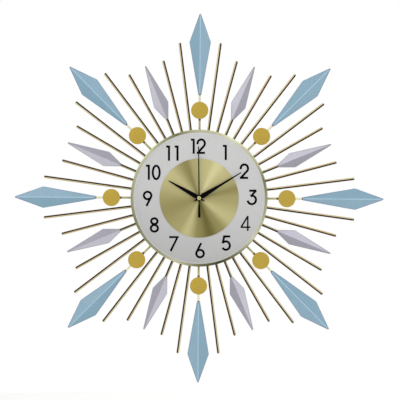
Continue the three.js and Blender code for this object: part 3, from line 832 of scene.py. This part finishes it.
def make_ring():
    """The ring behind the drum, its screw pads, and the welds that hold the rods to it."""
    ring = hoop(RING_INNER, RING_OUTER, RING_BACK, RING_FRONT, 0.4, 192)
    pad_back = RING_FRONT - 0.3
    pad = [(0, pad_back), (3.6, pad_back), (3.6, DRUM_BACK), (0, DRUM_BACK)]
    pads = [shifted(turned(pad, 32), x, y) for x, y in SCREW_CENTRES]
    gold = lacquer("ring_gold", (176, 150, 88), (190, 166, 104), 0.42, 0.5)
    add_piece("spoke_ring", ring, gold, "gold_rod", "spoke_frame")
    add_piece("screw_pads", together(*pads), gold, "gold_rod", "spoke_frame")
    beads = []
    for i in range(SPOKES):
        behind = i % 6 != 0
        reach = ROD_RADIUS if behind else STEM_RADIUS
        depth = RING_BACK if behind else RING_FRONT
        for radius in (RING_INNER + 3.5, RING_OUTER - 3.5):
            for side in (-1, 1):
                one = bead(*WELD)
                if behind:
                    one = moved(one, Matrix.Rotation(math.pi, 4, "Y"))
                beads.append(moved(shifted(one, side * reach, radius, depth), clockwise(i * PITCH)))
    weld = lacquer("weld", (128, 104, 62), (160, 134, 82), 0.5, 0.5)
    add_piece("ring_welds", together(*beads), weld, "gold_rod", "spoke_frame")


# ---------------- drum, bezel, dial and numerals
def tangent_point(start, centre, radius):
    """Where the line from the start touches the circle on its left side."""
    offset = Vector(start) - Vector(centre)
    opening = math.acos(radius / offset.length)
    turn = math.atan2(offset.y, offset.x) + opening
    return (centre[0] + radius * math.cos(turn), centre[1] + radius * math.sin(turn))


SIX_BOWL = (0.0, -5.9)
SIX_TOP = (2.1, 14.0)

# The centre lines of each digit, from its middle.
STROKES = {
    "0": [arc((0, 0), 6.5, 12.6, 0, 360, 48)],
    "1": [[(0, 14.2), (0, -14.2)], [(-5.4, 12.6), (0, 12.6)]],
    "2": [[*arc((0.0, 5.4), 6.9, 7.4, 192, -38, 30), (-6.6, -12.6)], [(-8.4, -12.5), (7.0, -12.5)]],
    "3": [[(-6.7, 12.6), (6.9, 12.6)],
          [(5.9, 12.4), (-2.7, 3.2), *arc((-1.9, -4.8), 7.9, 8.1, 96, -170, 30)]],
    "4": [[(4.3, 14.2), (4.3, -14.2)], [(-9.2, -7.2), (9.3, -7.2)], [(4.3, 13.4), (-8.4, -7.2)]],
    "5": [[(7.8, 12.5), (-3.7, 12.5), (-5.9, 1.4), *arc((-0.4, -4.8), 7.4, 7.9, 128, -148, 32)]],
    "6": [arc(SIX_BOWL, 7.1, 7.0, 0, 360, 40), [SIX_TOP, tangent_point(SIX_TOP, SIX_BOWL, 7.0)]],
    "7": [[(-8.8, 12.5), (6.9, 12.5), (-6.4, -14.2)]],
    "8": [arc((0, 7.2), 5.9, 5.4, 0, 360, 40), arc((0, -6.2), 6.7, 6.3, 0, 360, 40)],
}
STROKES["9"] = [[(-x, -y) for x, y in line] for line in STROKES["6"]]

# Each number's shift from its place on the circle, from 1 to 12, and its digits' places across.
SHIFTS = [
    (-1.0, 0.5), (-0.2, 1.3), (2.5, 1.5), (2.0, 1.7), (1.6, 0.8), (1.8, 0.0),
    (1.9, -0.5), (1.1, -1.4), (1.6, -1.0), (-1.3, -0.9), (-1.3, -0.9), (-1.8, -1.0),
]
ACROSS = {1: [1.9], 10: [-8.1, 5.9], 11: [-6.2, 9.9], 12: [-8.5, 5.7]}


def numeral(hour):
    turn = math.radians(30 * hour)
    centre_x = NUMERAL_CIRCLE * math.sin(turn) + SHIFTS[hour - 1][0]
    centre_y = NUMERAL_CIRCLE * math.cos(turn) + SHIFTS[hour - 1][1]
    low = DIAL_FRONT - 0.05
    high = DIAL_FRONT + NUMERAL_HEIGHT
    solids = []
    for digit, across in zip(str(hour), ACROSS.get(hour, [0.0])):
        width = THIN_WIDTH if digit == "4" else NUMERAL_WIDTH
        lines = [ribbon(line, width, low, high) for line in STROKES[digit]]
        solids.append(shifted(combined(lines[0], lines[1:], "UNION"), centre_x + across, centre_y))
    return together(*solids)


def make_dial():
    rim = rim_gold()
    flange = 110.0
    inner = DRUM_RADIUS - 2.0
    step_back = 15.5
    step = 121.0
    flange_front = 10.2
    drum = [
        (flange, DRUM_BACK), (DRUM_RADIUS, DRUM_BACK), (DRUM_RADIUS, DRUM_FRONT), (inner, DRUM_FRONT),
        (inner, DIAL_BACK), (step, DIAL_BACK), (step, step_back), (inner, step_back), (inner, flange_front),
        (flange, flange_front),
    ]
    shell = turned(rounded(drum, 0.4, 2), 240, closed=True)
    add_piece("case_drum_shell", shell, rim, "rim_gold", "case_drum")
    half = (BEZEL_RADIUS - BEZEL_INSIDE) / 2
    crown = arc(((BEZEL_INSIDE + BEZEL_RADIUS) / 2, BEZEL_FRONT - 1.5), half, 1.5, 0, 180, 12)
    bezel = turned([(BEZEL_RADIUS, DRUM_FRONT), *crown, (BEZEL_INSIDE, DRUM_FRONT)], 240, closed=True)
    add_piece("bezel_bead", bezel, rim, "rim_gold", "bezel_ring")
    face = hoop(CENTRE_HOLE, DIAL_RADIUS, DIAL_BACK, DIAL_FRONT, 0.15, 192, 2)
    add_piece("dial_sheet", face, grey_face(), "grey_face", "dial_face")
    disc = hoop(CENTRE_HOLE, CENTRE_RADIUS, DIAL_FRONT, CENTRE_FRONT, 0.25, 192)
    add_piece("spun_disc", disc, spun_gold(), "spun_gold", "centre_disc")
    ink = lacquer("numeral_ink", (2, 2, 3), (8, 8, 10), 0.75, 0.01)
    for hour in range(1, 13):
        add_piece(f"numeral_{hour:02d}", numeral(hour), ink, "hand_black", turn=NUMERAL_TURN)


# ---------------- hands
def hand(node, side, ease, eye, bore):
    """A flat hand from its right side's points, tail first, and from the outlines of its eye and bore."""
    low, high = extent(node)[2]
    outline = side + [(-x, y) for x, y in reversed(side) if x > 0]
    shape = combined(plate(rounded(outline, ease, 2), low, high), [plate(eye, low, high)], "UNION")
    return combined(shape, [plate(bore, low - 1, high + 1)], "DIFFERENCE")


def blade(node, length, half, waist, bore):
    """A lozenge blade with a short pointed tail. The waist is a half-width and its distance."""
    side = [
        (0.0, -BLADE_TAIL), (2.2, -4.5), (2.2, 0.0), (half, BLADE_WIDEST), waist,
        (BLADE_TIP_HALF, length - 0.3), (0.0, length),
    ]
    return eased(hand(node, side, 0.3, circle(BLADE_EYE, 48), circle(bore, 32)), 0.14)


def make_hands():
    black = lacquer("hand_black", (4, 3, 5), (12, 9, 14), 0.55, 0.02)
    hour = blade("hour_hand", length=66.5, half=4.4, waist=(2.8, 34.0), bore=2.6)
    add_piece("hour_blade", hour, black, "hand_black", "hour_hand", body="hour", turn=HOUR_TURN)
    minute = blade("minute_hand", length=93.0, half=4.75, waist=(2.2, 45.0), bore=1.6)
    add_piece("minute_blade", minute, black, "hand_black", "minute_hand", body="minute", turn=MINUTE_TURN)
    side = [(2.35, -36.8), (1.9, -13.3), (1.2, -12.7), (1.0, 97.6), (0.0, 98.0)]
    needle = eased(hand("second_hand", side, 0.4, circle(3.2, 40), circle(0.8, 24)), 0.1)
    add_piece("second_needle", needle, black, "hand_black", "second_hand", body="seconds", turn=SECOND_TURN)
    (_, radius), _, (back, front) = extent("second_hub")
    dome = [
        (0.0, back - 0.25), (radius * 0.8, back - 0.25), (radius * 0.97, back), (radius, back + 0.35),
        (radius * 0.95, back + 0.62), (radius * 0.8, front - 0.3), (radius * 0.55, front - 0.14),
        (radius * 0.44, front - 0.12), (radius * 0.4, front - 0.3), (0.0, front - 0.3),
    ]
    button = metal("hub_gold", (206, 198, 152), (192, 182, 130), 0.36)
    add_piece("hub_button", turned(dome, 48), button, "gold_disc", "second_hub", body="seconds")
    pin = [(0.0, front - 0.4), (1.35, front - 0.4), (1.35, front - 0.12), (1.1, front - 0.02), (0.0, front)]
    pin_brass = metal("pin_brass", (138, 128, 76), (116, 104, 60), 0.38)
    add_piece("hub_pin", turned(pin, 32), pin_brass, "brass", "second_hub", body="seconds")


# ---------------- movement and hanging parts
def make_movement(plastic, brass):
    """The movement's box, with a bay for the battery and a room for the train, and its threaded bush."""
    half = extent("movement_case")[0][1]
    front = 15.6
    inner = half - 1.2
    block = eased(plate(rounded(rectangle(-half, -half, half, half), 3.0, 5), 0.0, front), 0.5)
    bay = plate(rounded(rectangle(-inner, -inner, inner, -11.6), 1.5), -1.0, front - 1)
    room = plate(rounded(rectangle(-inner, -10.6, inner, inner), 1.5), -1.0, front - 1)
    notches = [
        plate(rounded(rectangle(x - 4, -half - 1, x + 4, -half + 3.2), 1.0), -1.0, 7.0) for x in (-14, 14)
    ]
    shell = combined(combined(block, [bay, room], "DIFFERENCE"), notches, "DIFFERENCE")
    add_piece("movement_shell", shell, plastic, "black_plastic", "movement_case")
    bore = 2.8
    crest = 4.6
    root = 4.22
    pitch = 0.75
    start = front + 1.2
    end = 22.4
    thread = [(bore, front - 0.6), (crest, front - 0.6), (crest, start)]
    for i in range(int((end - 0.5 - front - 1.2) / pitch)):
        base = start + i * pitch
        thread += [(crest, base + 0.1), (root, base + pitch * 0.5), (crest, base + pitch * 0.9)]
    thread += [(4.3, end), (bore, end)]
    add_piece("bush_thread", turned(thread, 64, closed=True), brass, "black_plastic", "movement_case")


def make_cover(plastic):
    """The movement's rear cover, with a well for the knob, a raised label frame, ribs and an arrow."""
    (left, right), (bottom, top), _ = extent("movement_cover")
    centre = middle("setting_knob")
    well = 5.2
    relief = 0.3
    sheet = plate(rounded(rectangle(left, bottom, right, top), 1.2), 0.15, 1.2, [circle(well, 48, centre)])
    collar = shifted(hoop(well, well + 1.4, 0.0, 0.4, 0.12, 64), *centre)
    window = rounded(rectangle(left + 5, 13.0, right - 5, top - 5), 0.8)
    panel = plate(rounded(rectangle(left + 4, 12.0, right - 4, top - 4), 1.0), 0.0, relief, [window])
    ribs = [
        plate(rounded(rectangle(left + 5, y, left + 19, y + 0.9), 0.4), 0.0, relief)
        for y in (-6.0, -3.6, -1.2, 1.2, 3.6)
    ]
    shaft = arc(centre, 8.4, 8.4, 115, 40, 10)
    x, y = shaft[-1]
    head = plate([(x + 0.2, y + 1.6), (x - 1.3, y - 0.7), (x + 1.7, y - 1.5)], 0.0, relief)
    cover = together(eased(sheet, 0.2), collar, panel, *ribs, ribbon(shaft, 0.9, 0.0, relief), head)
    add_piece("movement_back", cover, plastic, "black_plastic", "movement_cover")


def make_knob():
    """The setting knob: knurled, with a dished back."""
    (left, right), _, _ = extent("setting_knob")
    x, y = middle("setting_knob")
    radius = (right - left) / 2
    teeth = 24
    outline = []
    for i in range(teeth):
        for share, reach in ((0.0, 1.0), (0.4, 1.0), (0.55, 0.93), (0.85, 0.93)):
            turn = 2 * math.pi * (i + share) / teeth
            outline.append((x + radius * reach * math.cos(turn), y + radius * reach * math.sin(turn)))
    dish = shifted(turned([(0, 0.9), (2.6, 0.9), (3.4, 0.2), (0, 0.2)], 40), x, y)
    knob = combined(plate(outline, 0.5, 3.2), [dish], "DIFFERENCE")
    plastic = moulded("knob_plastic", (34, 34, 37), (58, 58, 62), 0.46)
    add_piece("knurled_knob", knob, plastic, "black_plastic", "setting_knob", body="setting", crease=28)


def contact_strip(node):
    """A contact's flat strip, standing across the battery's axis at its end."""
    (left, _), (bottom, top), (back, front) = extent(node)
    flat = eased(plate(rectangle(bottom, back, top, front), 0.0, 0.4), 0.12)
    stand = Matrix(((0, 0, 1, 0), (1, 0, 0, 0), (0, 1, 0, 0), (0, 0, 0, 1)))
    return shifted(moved(flat, stand), x=left)


def make_battery(steel):
    """The battery, lying along x with its nub to the right, and its two contacts."""
    centre_y = (BATTERY_BOTTOM + BATTERY_TOP) / 2
    radius = (BATTERY_TOP - BATTERY_BOTTOM) / 2
    depth = BATTERY_BACK + radius
    lay = Matrix.Translation((0, centre_y, depth)) @ Matrix.Rotation(math.radians(-90), 4, "Z")
    sleeve = rounded(rectangle(radius - 1.0, BATTERY_LEFT + 0.3, radius, BATTERY_RIGHT - 0.2), 0.45)
    skin = moved(turned(sleeve, 64, axis="y", closed=True), lay)
    add_piece("battery_skin", skin, battery_sleeve(), "battery_sleeve", "battery", body="battery")
    can = [
        (0.0, BATTERY_LEFT + 0.25), (3.6, BATTERY_LEFT + 0.25), (4.0, BATTERY_LEFT), (5.6, BATTERY_LEFT),
        (radius - 0.8, BATTERY_LEFT + 0.4), (radius - 0.8, BATTERY_RIGHT - 0.4),
        (radius - 1.6, BATTERY_RIGHT - 0.1), (4.2, BATTERY_RIGHT - 0.1), (3.9, BATTERY_RIGHT + 0.1),
        (2.8, BATTERY_RIGHT + 0.1), (2.65, BATTERY_RIGHT + 0.4), (2.65, BATTERY_NUB - 0.25),
        (2.4, BATTERY_NUB), (0.0, BATTERY_NUB),
    ]
    add_piece("battery_can", moved(turned(can, 64, axis="y"), lay), steel, "steel", "battery", body="battery")
    left = extent("contact_negative")[0][0]
    length = BATTERY_LEFT - left - 0.75
    turns = 3.5
    steps = 84
    coil = []
    for i in range(steps + 1):
        share = i / steps
        reach = 5.2 - 2.6 * share
        turn = 2 * math.pi * turns * share
        along = left + 0.5 + share * length
        coil.append((along, centre_y + reach * math.cos(turn), depth + reach * math.sin(turn)))
    minus = together(contact_strip("contact_negative"), swept(coil, 0.3))
    add_piece("contact_spring", minus, steel, "steel", "contact_negative")
    left = extent("contact_positive")[0][0]
    stand = Matrix.Translation((left, centre_y, depth)) @ Matrix.Rotation(math.radians(90), 4, "Y")
    dimple = moved(turned([(0, -0.35), (1.4, -0.3), (2.2, 0.05), (2.2, 0.2), (0, 0.2)], 24), stand)
    plus = together(contact_strip("contact_positive"), dimple)
    add_piece("contact_plate", plus, steel, "steel", "contact_positive")


def make_hanger(steel, brass):
    """The keyhole plate that hangs on the nail, and its two rivets."""
    (left, right), (bottom, top), (back, _) = extent("hanger_plate")
    hole = 4.2
    neck = 2.0
    narrow = math.degrees(math.asin(neck / hole))
    keyhole = arc((0, 90.0), hole, hole, 90 + narrow, 450 - narrow, 28)
    keyhole += arc((0, 96.0), neck, neck, 0, 180, 10)
    sheet = plate(rounded(rectangle(left, bottom, right, top), 3.0, 5), back, RING_BACK, [keyhole])
    add_piece("keyhole_plate", eased(sheet, 0.2), steel, "steel", "hanger_plate")
    head = [(0, back + 0.2), (1.9, back + 0.2), (1.75, back - 0.5), (1.1, back - 0.85), (0, back - 0.95)]
    rivets = [shifted(turned(head, 24), x, 110.0) for x in (-5.0, 5.0)]
    add_piece("hanger_rivets", together(*rivets), brass, "steel", "hanger_plate")


def make_screws(steel):
    """The cross-head screws that hold the ring to the drum."""
    for number, (x, y) in enumerate(SCREW_CENTRES, 1):
        node = f"frame_screw_{number}"
        back, front = extent(node)[2]
        head = turned([
            (0, RING_BACK), (3.2, RING_BACK), (3.2, RING_BACK - 0.5), (3.0, back + 0.45), (2.4, back + 0.1),
            (1.2, back), (0, back),
        ], 32)
        slots = [
            plate(rectangle(-across, -along, across, along), back - 1, back + 1.0)
            for across, along in ((1.7, 0.32), (0.32, 1.7))
        ]
        shank = [(0, RING_BACK - 0.2), (1.4, RING_BACK - 0.2), (1.4, front - 0.8), (0.9, front), (0, front)]
        screw = together(combined(head, slots, "DIFFERENCE"), turned(shank, 24))
        add_piece(f"cross_screw_{number}", shifted(screw, x, y), steel, "steel", node)


def make_nut():
    """The nut and washer that hold the movement to the dial."""
    gilt = metal("gilt", (176, 166, 116), (160, 150, 100), 0.4)
    back, front = extent("fixing_nut")[2]
    hexagon = plate(circle(6.4, 6), back, front, [circle(4.7, 48)])
    below = back - 1
    above = front + 1
    cone = [(4.0, below), (9.0, below), (9.0, front - 1.9), (5.5, front), (5.5, above), (4.0, above)]
    nut = combined(hexagon, [turned(cone, 64, closed=True)], "INTERSECT")
    add_piece("hex_nut", eased(nut, 0.08), gilt, "brass", "fixing_nut")
    (_, radius), _, (back, front) = extent("brass_washer")
    add_piece("flat_washer", hoop(4.9, radius, back - 0.3, front, 0.2, 64), gilt, "brass", "brass_washer")


# ---------------- building
def finish_cad_nodes(steel, brass):
    """The pieces inside the movement keep their CAD shape and get a material of their own."""
    white = moulded("white_plastic", (226, 223, 214), (240, 238, 232), 0.4)
    rubber = moulded("rubber", (30, 30, 31), (48, 48, 48), 0.8, 0.2)
    chosen = {
        white: ["intermediate_wheel", "seconds_wheel", "third_wheel", "setting_wheel"],
        brass: ["centre_wheel", "hour_wheel", "hour_washer", "setting_bush"],
        steel: ["rotor", "minute_arbor", "stator", "quartz_crystal"],
        rubber: ["rubber_washer"],
        copper_wire(): ["drive_coil"],
        board(): ["circuit_board"],
    }
    for material, nodes in chosen.items():
        for node in nodes:
            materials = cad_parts[node].data.materials
            materials.clear()
            materials.append(material)


make_camera()
make_world()
make_light("key", (-1.6, -2.2, 2.0), 2.2, 26)
make_light("fill", (2.2, -1.8, 0.6), 2.4, 12)
make_light("back", (0.6, 2.4, 1.4), 2.4, 18)
make_floor(lacquer("floor", (238, 238, 236), (243, 243, 241), 0.8, 0.1))
black_plastic = moulded("black_plastic", (24, 24, 26), (44, 44, 47))
plain_steel = metal("steel", (186, 188, 190), (150, 151, 153), 0.34)
plain_brass = metal("brass", (206, 182, 112), (172, 148, 86), 0.34)
make_rods()
make_kites()
make_ring()
make_dial()
make_hands()
make_movement(black_plastic, plain_brass)
make_cover(black_plastic)
make_knob()
make_battery(plain_steel)
make_hanger(plain_steel, plain_brass)
make_screws(plain_steel)
make_nut()
finish_cad_nodes(plain_steel, plain_brass)

scene.view_settings.view_transform = "Standard"
